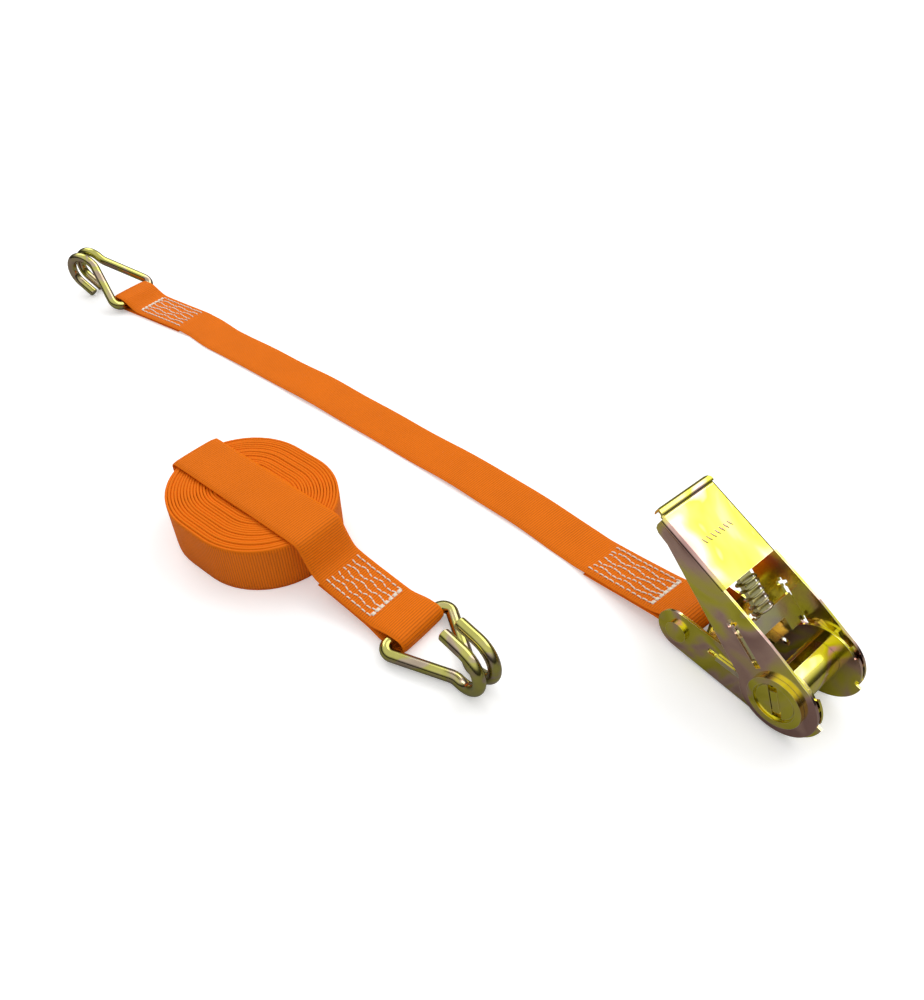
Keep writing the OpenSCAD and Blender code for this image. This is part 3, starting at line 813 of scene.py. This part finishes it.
# %% Make the short strap
def short_across(i, point):
    """Direction across the short strap: square to the bolt near it, then square to the plan curve."""
    x = (point.x - hub.x) / MM
    if x > -100:
        return Vector((0, 1, 0))
    x = max(x, -REACH)
    slope = drift(x - 0.5) - drift(x + 0.5)
    return Vector((slope, 1, 0)).normalized()

short_rows = tape_rows(short_path, short_across)
short_tape = tape("short_webbing", short_rows, "short_strap")
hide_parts("short_strap")

# %% [markdown]
# ## The wound long strap
# About twenty-three turns stand on edge. The roll isn't round: the first fold of the strap leaves it oval. A
# spiral line of one tape thickness a turn is laid round a short core line, and the tape's edge stands up
# from it. Each turn stands a little higher or lower than the next, which is what makes the top of a real
# roll look like wound tape and not like a grooved disc.

# %% Spiral path of the roll
long_bar = Vector(joints["long_hook_swing"]["pos_m"])
ROLL_FROM_BAR = 97
RIM = 35
CORE = 7.0
INNER = 1.5
OUTER = 34.3
PITCH = 1.40
STEPS_A_TURN = 72
TAIL_TURN = math.radians(10)
tail_dir = Vector((math.cos(TAIL_TURN), math.sin(TAIL_TURN), 0))
tail_side = Vector((-math.sin(TAIL_TURN), math.cos(TAIL_TURN), 0))
roll_mid = long_bar - ROLL_FROM_BAR * MM * tail_dir
roll_mid.z = 0
turns = (OUTER - INNER) / PITCH

def oval(turn_share, r):
    """Point of an oval of end radius r round the core line, by share of one turn from the far end."""
    half_way = math.pi * r
    flat_way = 2 * CORE
    s = (turn_share % 1.0) * 2 * (half_way + flat_way)
    if s < half_way / 2:
        t = math.pi - s / r
        return -CORE + r * math.cos(t), r * math.sin(t)
    s -= half_way / 2
    if s < flat_way:
        return -CORE + s, r
    s -= flat_way
    if s < half_way:
        t = math.pi / 2 - s / r
        return CORE + r * math.cos(t), r * math.sin(t)
    s -= half_way
    if s < flat_way:
        return CORE - s, -r
    s -= flat_way
    t = -math.pi / 2 - s / r
    return -CORE + r * math.cos(t), r * math.sin(t)

spiral = []
for i in range(int(turns * STEPS_A_TURN) + 1):
    u = i / STEPS_A_TURN
    r = INNER + PITCH * u + 0.025 * math.sin(3 * u * 2 * math.pi + u)
    x, y = oval(u - turns, r)
    rise = 12.35 + 0.16 * math.sin(u * 2.9) + 0.12 * math.sin(u * 11.3 + 1)
    spiral.append(roll_mid + MM * (x * tail_dir + y * tail_side) + Vector((0, 0, rise * MM)))
roll_path, roll_length = even(spiral, 1.9 * MM)
print(round(turns, 1), "turns,", round(roll_length, 2), "m of tape")

# %% Make the roll
roll_rows = tape_rows(roll_path, lambda i, point: Vector((0, 0, 1)))
roll_tape = tape("wound_webbing", roll_rows, "long_strap", crown=0.0, width=24.3, wander=0.05, thick=1.34,
    edge_share=0.85)
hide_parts("long_strap_roll")

# %% [markdown]
# ## The tail over the roll
# The outer end is folded up over the far rim, lies across the top, drops off the near rim and is sewn
# round its hook's bar. It is the same tape, so it is made the same way.

# %% Path of the tail
ROLL_NEAR = -ROLL_FROM_BAR + CORE + RIM
ROLL_FAR = -ROLL_FROM_BAR - CORE - RIM
TOP = 25.75
tail = [(ROLL_FAR - 0.9, 10), (ROLL_FAR - 0.9, 22)]
tail += arc(ROLL_FAR + 1.7, TOP - 2.6, 2.6, 170, 90, 6)
tail += [(ROLL_FAR + 20, TOP + 0.1), (ROLL_FAR + 45, TOP), (ROLL_NEAR - 9, TOP), (ROLL_NEAR - 1.5, TOP)]
tail += [(ROLL_NEAR + 1.2, TOP - 0.7), (ROLL_NEAR + 2.9, TOP - 3.4)]
tail += [(ROLL_NEAR + 5.6, 17.2), (ROLL_NEAR + 8.4, 12.8)]
tail += [(ROLL_NEAR + 12, 10.4), (-14, 5.8), (-10, 6.2), (-5.6, 7.4), (-2, 8.05)]
tail += arc(1.96, BAR_Z, HOOK_LOOP_R, 90, -90, 16)
tail += [(-7, 1.15), (-11, 2.9), (-14, 4.4), (ROLL_NEAR + 11.5, 9.05)]
path = [long_bar + MM * (x * tail_dir) + Vector((0, 0, z * MM - long_bar.z)) for x, z in tail]
tail_path, tail_length = even(soften(path, 3), 1.5 * MM)
tail_rows = tape_rows(tail_path, lambda i, point: -tail_side)
tail_tape = tape("tail_webbing", tail_rows, "long_strap", crown=0.25)
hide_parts("long_strap_tail")

# %% [markdown]
# ## Stitching
# Each sewn end has a box of cream thread: a frame of stitches with wavy rows inside it. A stitch shows
# as a short fat bar that dives into the tape at both ends, so every stitch is a small bent tube. They
# are placed on the tape by length and width, so that they follow its slope.

# %% Place a point on a tape's outer face
def on_tape(rows, run, across, lift):
    """Point on a tape by the length run in metres, and mm across it and off it."""
    for a, b in zip(rows, rows[1:]):
        if b[3] >= run:
            share = (run - a[3]) / max(b[3] - a[3], 1e-9)
            point, side = a[0].lerp(b[0], share), a[1].lerp(b[1], share)
            normal = a[2].lerp(b[2], share)
            return point + across * MM * side + lift * MM * normal
    return rows[-1][0]

def run_near(rows, place, highest):
    """Length along the tape where its upper layer, below a height, passes nearest to a place."""
    upper = (r for r in rows if r[2].z > 0.3 and r[0].z < highest)
    best = min(upper, key=lambda r: (r[0].x - place.x) ** 2 + (r[0].y - place.y) ** 2)
    return best[3]

# %% Sew one box
HALF_BOX = 9.3
THREAD_R = 0.34
DIVE = ((0.0, -0.25), (0.12, 0.2), (0.5, 0.33), (0.88, 0.2), (1.0, -0.25))
FIRM_ROWS = (0.0, 0.5, 1.0)
WAVY_ROWS = 5
WAVE_POINTS = 25

def gap(a, b):
    """Distance in mm between two (run in metres, across in mm) places."""
    return math.hypot((b[0] - a[0]) / MM, b[1] - a[1])

def part_way(a, b, share):
    """Place at a share of the way between two places."""
    return a[0] + (b[0] - a[0]) * share, a[1] + (b[1] - a[1]) * share

def along_line(line, s):
    """Place at a distance in mm along a line of places."""
    for a, b in zip(line, line[1:]):
        d = gap(a, b)
        if s <= d or b is line[-1]:
            return part_way(a, b, min(1.0, s / max(d, 1e-9)))
        s -= d

def sew(name, node, rows, start, end, body, cross_at="end"):
    """Rows of stitches from start to end, with firm rows across at one of them."""
    points, faces = [], []
    hand = random.Random(len(name))

    def stitch(a, b):
        path = []
        for share, lift in DIVE:
            run, wide = part_way(a, b, share)
            path.append(on_tape(rows, run, wide, THICK / 2 + 0.12 + lift))
        shell, skin = wire_shell(path, THREAD_R * MM, 6, 0.08 * MM)
        base = len(points)
        points.extend(shell)
        faces.extend(tuple(base + k for k in face) for face in skin)

    def seam(line, pitch=3.0):
        total = sum(gap(a, b) for a, b in zip(line, line[1:]))
        count = max(1, round(total / pitch))
        for i in range(count):
            a = along_line(line, total * (i + hand.uniform(0.0, 0.12)) / count)
            b = along_line(line, total * (i + hand.uniform(0.66, 0.92)) / count)
            stitch((a[0], a[1] + hand.uniform(-0.16, 0.16)), (b[0], b[1] + hand.uniform(-0.16, 0.16)))

    low_run = min(start, end)
    high_run = max(start, end)
    for wide in (-HALF_BOX, HALF_BOX):
        seam([(low_run, wide), (high_run, wide)])
    firm = high_run if cross_at == "end" else low_run
    inward = -1 if firm == high_run else 1
    for shift in FIRM_ROWS:
        run = firm + inward * shift * MM
        seam([(run, -HALF_BOX), (run, HALF_BOX)], 2.6)
    for k in range(WAVY_ROWS):
        middle_line = -HALF_BOX + HALF_BOX * 2 * (k + 1) / (WAVY_ROWS + 1)
        line = []
        for i in range(WAVE_POINTS):
            run = low_run + (high_run - low_run) * (i + 0.5) / WAVE_POINTS
            line.append((run, middle_line + 0.6 * math.sin(2 * math.pi * i / 9 + k * 1.7)))
        seam(line, 2.7)
    obj = link_mesh(name, points, faces, cream_thread, body)
    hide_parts(node)
    print(name, len(obj.data.polygons), "faces")
    return obj

# %% The three boxes of stitching
ANY_HEIGHT = 1.0
BELOW_ROLL = 14 * MM

def span(rows, origin, direction, first, last, highest=ANY_HEIGHT):
    """Lengths along a tape of a box's two ends, which are given in mm from an origin."""
    return [run_near(rows, origin + direction * distance * MM, highest) for distance in (first, last)]

back = Vector((-1, 0, 0))
hub_floor = Vector((hub.x, hub.y, 0))
start, end = span(short_rows, hub_floor, back, 62.5, 98)
sewn_at_ratchet = sew("ratchet_end_stitching", "short_strap_stitching_ratchet", short_rows, start, end,
    "short_strap", cross_at="start")
start, end = span(short_rows, short_bar, away, -50.5, -16)
sewn_at_short_hook = sew("hook_end_stitching", "short_strap_stitching_hook", short_rows, start, end,
    "short_strap")
start, end = span(tail_rows, long_bar, tail_dir, -41.5, -14.5, BELOW_ROLL)
sewn_tail = sew("tail_stitching", "long_strap_stitching", tail_rows, start, end, "long_strap")

# %% [markdown]
# ## A plain raised pattern on the grip
# The grip's plate has a small pressed mark. Here it is a row of slanted bars that says nothing, low and
# rounded, so that it catches the light in the way that any embossing does.

# %% Raised bars on the handle's plate
GRIP_TILT = 23
BARS = 7
FIRST_BAR = -7.5
BAR_STEP = 2.5
BAR_X = -60
BAR_Z_ON_GRIP = 17.4
BAR_SIDES = 16
BAR_RINGS = ((1.0, -0.15), (0.8, 0.10), (0.45, 0.2))

def grip_point(x, y, z):
    """Point in mm from the spool's axis, in the handle's own tilted frame."""
    turn = math.radians(GRIP_TILT)
    forward = x * math.cos(turn) + z * math.sin(turn)
    up = -x * math.sin(turn) + z * math.cos(turn)
    return hub + MM * Vector((forward, y, up))

points, faces = [], []
for k in range(BARS):
    base = len(points)
    y0 = FIRST_BAR + BAR_STEP * k
    for grow, height in BAR_RINGS:
        for j in range(BAR_SIDES):
            t = 2 * math.pi * j / BAR_SIDES
            u = 1.9 * grow * math.cos(t)
            v = 0.5 * grow * math.sin(t)
            x = BAR_X + u * 0.9 - v * 0.4
            y = y0 + u * 0.4 + v * 0.9
            points.append(grip_point(x, y, BAR_Z_ON_GRIP + height))
    for ring in range(len(BAR_RINGS) - 1):
        for j in range(BAR_SIDES):
            a = base + ring * BAR_SIDES + j
            b = base + ring * BAR_SIDES + (j + 1) % BAR_SIDES
            faces.append((a, b, b + BAR_SIDES, a + BAR_SIDES))
    faces.append(tuple(base + 2 * BAR_SIDES + j for j in range(BAR_SIDES)))
    faces.append(tuple(base + j for j in reversed(range(BAR_SIDES))))
grip_bars = link_mesh("grip_bars", points, faces, mark_zinc, "handle")
print("seven raised bars")

print("tape in all:", round(short_rows[-1][3] + roll_rows[-1][3] + tail_rows[-1][3], 2), "m")

# %% Compare the two boxes and finish
visual_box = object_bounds()
plain = lambda pair: [[float(v) for v in corner] for corner in pair]
{"cad": plain(cad_box), "visual": plain(visual_box)}
for title, pair in (("CAD", cad_box), ("visual", visual_box)):
    print(title, "box in mm:", [round(v / MM, 1) for corner in pair for v in corner])
